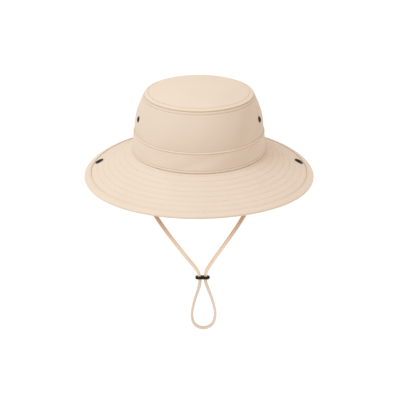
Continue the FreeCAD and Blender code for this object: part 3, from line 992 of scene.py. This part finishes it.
BINDING_ROW = BINDING_START + 1.7 * MM
QUARTERS = {
    "front_left": (FRONT, SNAP_ANGLE, "left", 1),
    "rear_left": (SNAP_ANGLE, BACK, "left", -1),
    "rear_right": (BACK, math.pi - SNAP_ANGLE, "right", -1),
    "front_right": (math.pi - SNAP_ANGLE, 2 * math.pi + FRONT, "right", 1),
}


def upper_surface(angle, slant, depth):
    relief = quilted(angle, slant) * np.clip(1 - depth / UPPER_PLY, 0, 1) * (slant > 0.5 * MM)
    return brim_point(angle, slant, depth - relief)


def lower_surface(angle, slant, depth):
    share = np.clip((depth - LOWER_TOP) / (BRIM_THICKNESS - LOWER_TOP), 0, 1)
    relief = quilted(angle, slant) * share * (slant > 0.5 * MM)
    return brim_point(angle, slant, depth + relief)


def plain_surface(angle, slant, depth):
    return brim_point(angle, slant + 0 * depth, depth + 0 * slant)


def binding_surface(angle, slant, depth):
    """Cloth folded round the edge, with a stitch row near its inner edge on both faces."""
    outside = (depth < -0.3 * MM) | (depth > BRIM_THICKNESS + 0.3 * MM)
    face = np.where(depth > BRIM_THICKNESS / 2, 1.0, -1.0)
    dip = 0.22 * MM * near(slant - BINDING_ROW, 0.7 * MM)
    out = np.clip((slant - BINDING_ROW) / (BRIM_WIDTH - BINDING_ROW), 0, 1)
    swell = 0.16 * MM * np.sin(math.pi * out)
    pull = 0.05 * MM * np.sin(angle * 190) * near(slant - BINDING_ROW, 2.4 * MM)
    return brim_point(angle, slant + 0 * depth, depth + face * outside * (swell - dip + pull))


def brim_sections():
    """The closed sections of the brim's layers, as (slant, depth) corners."""
    end = BRIM_WIDTH - 0.7 * MM
    fine = spread(-1.6 * MM, BINDING_START - 1 * MM, ROWS, 0.36 * MM, 1.9 * MM, 1.3 * MM)
    fine += list(np.linspace(BINDING_START, end, 7))
    coarse = list(np.linspace(end, -1.9 * MM, 46))
    upper = [(s, 0.0) for s in fine] + [(s, UPPER_PLY - 0.02 * MM) for s in coarse]
    lower = [(s, LOWER_TOP + 0.02 * MM) for s in reversed(coarse)]
    lower += [(s, BRIM_THICKNESS) for s in reversed(fine)]
    middle = [(s, 0.9 * MM) for s in reversed(coarse)] + [(s, 1.4 * MM) for s in coarse]
    skin = 0.65 * MM
    inner = BINDING_START
    top = [(inner + 0.4 * MM, 0.04 * MM), (inner + 0.18 * MM, -0.12 * MM),
           (inner + 0.06 * MM, -0.25 * MM), (inner + 0.02 * MM, -0.4 * MM),
           (inner + 0.12 * MM, -0.57 * MM), (inner + 0.4 * MM, -skin)]
    top += [(s, -skin) for s in spread(inner + 0.8 * MM, BRIM_WIDTH - 1.6 * MM, [BINDING_ROW])]
    top += [(BRIM_WIDTH - 0.9 * MM, -0.52 * MM), (BRIM_WIDTH - 0.4 * MM, -0.25 * MM),
            (BRIM_WIDTH - 0.12 * MM, 0.2 * MM)]
    turned = [(s, BRIM_THICKNESS - d) for s, d in reversed(top)]
    within = list(np.linspace(inner + 1.6 * MM, BRIM_WIDTH - 0.65 * MM, 7))
    inside = [(s, BRIM_THICKNESS) for s in within] + [(s, 0.0) for s in reversed(within)]
    binding = top + [(BRIM_WIDTH, BRIM_THICKNESS / 2)] + turned + inside
    return {"upper": (upper, upper_surface, BRIM_CLOTH),
            "interlining": (middle, plain_surface, FELT),
            "lower": (lower, lower_surface, BRIM_CLOTH),
            "binding": (binding, binding_surface, BRIM_CLOTH)}


def brim_normal(angle, slant):
    tilt = slope_at(angle, slant)
    normal = outward(angle) * np.sin(tilt)[..., None]
    normal[..., 2] = np.cos(tilt)
    return normal


def fold_line(side, forward):
    """The start and end of a quarter's bend, which runs out and towards the side's middle."""
    joint = next(j for j in frame["joints"] if j["name"] == f"{side}_brim_fold")
    point = Vector(joint["pos_m"])
    out = Vector((-joint["axis"][1], joint["axis"][0], 0))
    along = Vector((0, forward, 0))
    along -= out * along.dot(out)
    way = out * math.cos(FOLD_TURN) + along.normalized() * math.sin(FOLD_TURN)
    return point, point + way * FOLD_REACH


def make_brim():
    sections = brim_sections()
    for quarter, (start, end, side, forward) in QUARTERS.items():
        bend_start, bend_end = fold_line(side, forward)
        made = []
        for layer, (section, surface, material) in sections.items():
            piece = ring_piece(f"brim_{layer}_{quarter}", surface, section, material, start, end,
                               480 if layer == "interlining" else 720,
                               brim_painted_shade if layer in ("upper", "lower") else binding_painted_shade)
            fixed = quarter.split("_")[0] if layer == "binding" else "middle"
            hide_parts(f"brim_{layer}_{side}", f"brim_{layer}_{fixed}")
            made.append(piece)
        made.append(brim_stitches(quarter, start, end))
        for piece in made:
            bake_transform(piece)


# Painted shade on the brim: darker colour at the crown's foot, against the binding's inner edge and
# faintly along the stitch rows
def brim_painted_shade(slant, depth):
    return (0.3 * near(np.maximum(slant, 0), 0.6 * MM)
            + 0.8 * near(np.minimum(slant - BINDING_START, 0), 0.35 * MM)
            + 0.05 * near(thread_rows(slant, ROWS), 0.5 * MM))


# Painted shade on the binding: darker colour under the lip of its folded inner edge and along its
# stitch row
def binding_painted_shade(slant, depth):
    near_cloth = np.abs(depth - BRIM_THICKNESS / 2) < 1.45 * MM
    undercut = (slant < BINDING_START + 0.9 * MM) & near_cloth
    return 0.7 * undercut + 0.2 * near(slant - BINDING_ROW, 0.45 * MM)


def brim_stitches(quarter, start, end):
    rows = []
    for number, slant in enumerate(ROWS + [BINDING_ROW]):
        bound = slant == BINDING_ROW
        top = -0.6 * MM if bound else 0.0
        above, below = (binding_surface,) * 2 if bound else (upper_surface, lower_surface)
        for face, surface, depth, facing in (("top", above, top, 1),
                                             ("low", below, BRIM_THICKNESS - top, -1)):
            rows.append(row_round(f"row_{number}_{face}", surface, slant, depth, brim_normal,
                                  facing, BRIM_THREAD, start=start, end=end, lift=BRIM_LIFT,
                                  hole=BRIM_HOLE))
    return join(f"brim_stitches_{quarter}", rows)


# ---- snaps and eyelets

EYELETS = {"front": math.radians(-17.0), "rear": math.radians(34.5)}
EYELET_HEIGHT = 47.4 * MM


def mirrored(side, place, normal):
    """A placement on the wearer's left, or its mirror image on the right for side -1."""
    flip = Vector((side, 1, 1))
    return place_at(flip * Vector(place), (flip * Vector(normal)).normalized())


def wall_place(side, angle, z):
    """A placement on the wall's outer face, on one side of the hat."""
    angle, z = np.array(angle), np.array(z)
    return mirrored(side, wall_surface(angle, z, 0 * z), wall_normal(angle, z))


def snap_place(side):
    """A placement on the brim's upper face, where the snap is."""
    angle, slant = np.array(SNAP_ANGLE), np.array(SNAP_SLANT)
    return mirrored(side, brim_point(angle, slant, 0 * slant), brim_normal(angle, slant))


def in_mm(points):
    """A lathe profile of (radius, height) points, from millimetres."""
    return [(r * MM, h * MM) for r, h in points]


EYELET_PROFILE = in_mm([
    (2.1, 0.55), (2.2, 0.82), (2.5, 1.0), (3.0, 1.02), (3.6, 0.86), (4.0, 0.55), (4.12, 0.25),
    (4.05, 0.05), (3.6, 0.0), (2.75, -0.05), (2.68, -1.8), (2.1, -1.9), (2.06, -0.8)])
WASHER_PROFILE = in_mm([
    (2.72, -1.35), (4.0, -1.4), (4.1, -1.6), (3.9, -1.9), (3.2, -2.1), (2.6, -2.1),
    (2.45, -1.95), (2.65, -1.7)])
SOCKET_PROFILE = in_mm([
    (1.25, 0.62), (2.5, 0.64), (2.66, 0.9), (2.72, 1.15), (2.95, 1.3), (3.25, 1.22),
    (3.5, 0.98), (4.0, 0.86), (4.45, 0.96), (4.75, 1.25), (5.1, 1.52), (5.5, 1.54),
    (5.86, 1.3), (6.0, 0.9), (5.95, 0.4), (5.7, 0.16), (4.0, 0.12), (1.25, 0.14)])
CAP_PROFILE = in_mm([
    (0.0, -3.72), (2.2, -3.68), (4.0, -3.55), (5.2, -3.3), (5.8, -2.95), (6.0, -2.65),
    (5.85, -2.45), (1.2, -2.42), (1.18, 0.55), (0.0, 0.6)])
STUD_PROFILE = in_mm([
    (0.0, 1.45), (1.2, 1.42), (1.66, 1.24), (1.8, 1.02), (1.62, 0.8), (1.55, 0.6), (1.85, 0.46),
    (3.2, 0.47), (4.1, 0.42), (4.5, 0.28), (4.6, 0.14), (4.4, 0.05), (1.3, 0.07), (1.25, 0.4),
    (0.0, 0.42)])
POST_PROFILE = in_mm([
    (0.0, 0.38), (1.15, 0.36), (1.2, -1.5), (4.3, -1.5), (4.6, -1.62), (4.4, -1.85),
    (3.0, -1.95), (0.0, -1.98)])


def make_hardware():
    for name, side in SIDES.items():
        for end, angle in EYELETS.items():
            place = wall_place(side, angle, EYELET_HEIGHT)
            metal_piece(f"eyelet_{end}_{name}", EYELET_PROFILE, place, "hat")
            metal_piece(f"eyelet_washer_{end}_{name}", WASHER_PROFILE, place, "hat")
        place = wall_place(side, SNAP_ANGLE, STUD_HEIGHT)
        metal_piece(f"crown_snap_stud_{name}", STUD_PROFILE, place, "hat")
        metal_piece(f"crown_snap_post_{name}", POST_PROFILE, place, "hat")
        place, flap = snap_place(side), f"{name}_brim_side"
        metal_piece(f"brim_snap_socket_{name}", SOCKET_PROFILE, place, flap)
        metal_piece(f"brim_snap_cap_{name}", CAP_PROFILE, place, flap)


def metal_piece(node_name, profile, place, body):
    piece = lathe(f"{node_name}_metal", profile, place, BLACK_METAL)
    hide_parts(node_name)
    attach(piece, body)


# ---- studio

FLOOR_Z = -1.35
FLOOR_GLOW = 0.72
SKY = (0.97, 0.905, 0.85, 1)
KEY_PLACE = (-1.28, -1.07, 2.26)
KEY_SIZE = 1.2
KEY_POWER = 37
KEY_COLOUR = (0.82, 1.0, 1.16)


def make_studio():
    material, _, shader = new_material("floor")
    set_inputs(shader, Base_Color=(0.35, 0.35, 0.35, 1), Emission_Color=(1.0, 1.0, 1.0, 1),
               Emission_Strength=FLOOR_GLOW, Roughness=1.0, Specular_IOR_Level=0.0)
    bpy.ops.mesh.primitive_plane_add(size=40, location=(0, 0, FLOOR_Z))
    floor = bpy.context.object
    floor.name = "floor"
    floor.data.materials.append(material)
    world = bpy.data.worlds.new("studio")
    world.use_nodes = True
    set_inputs(world.node_tree.nodes["Background"], Color=SKY, Strength=1.0)
    bpy.context.scene.world = world
    make_key_light()
    bpy.context.scene.view_settings.view_transform = "Standard"


def make_key_light():
    light = bpy.data.lights.new("key", "AREA")
    light.size, light.energy, light.color = KEY_SIZE, KEY_POWER, KEY_COLOUR
    lamp = bpy.data.objects.new("key", light)
    lamp.location = KEY_PLACE
    lamp.rotation_euler = (-Vector(KEY_PLACE)).to_track_quat("-Z", "Y").to_euler()
    bpy.context.scene.collection.objects.link(lamp)


make_camera()
make_cord()
make_crown()
make_band()
make_lining()
make_brim()
make_hardware()
make_studio()
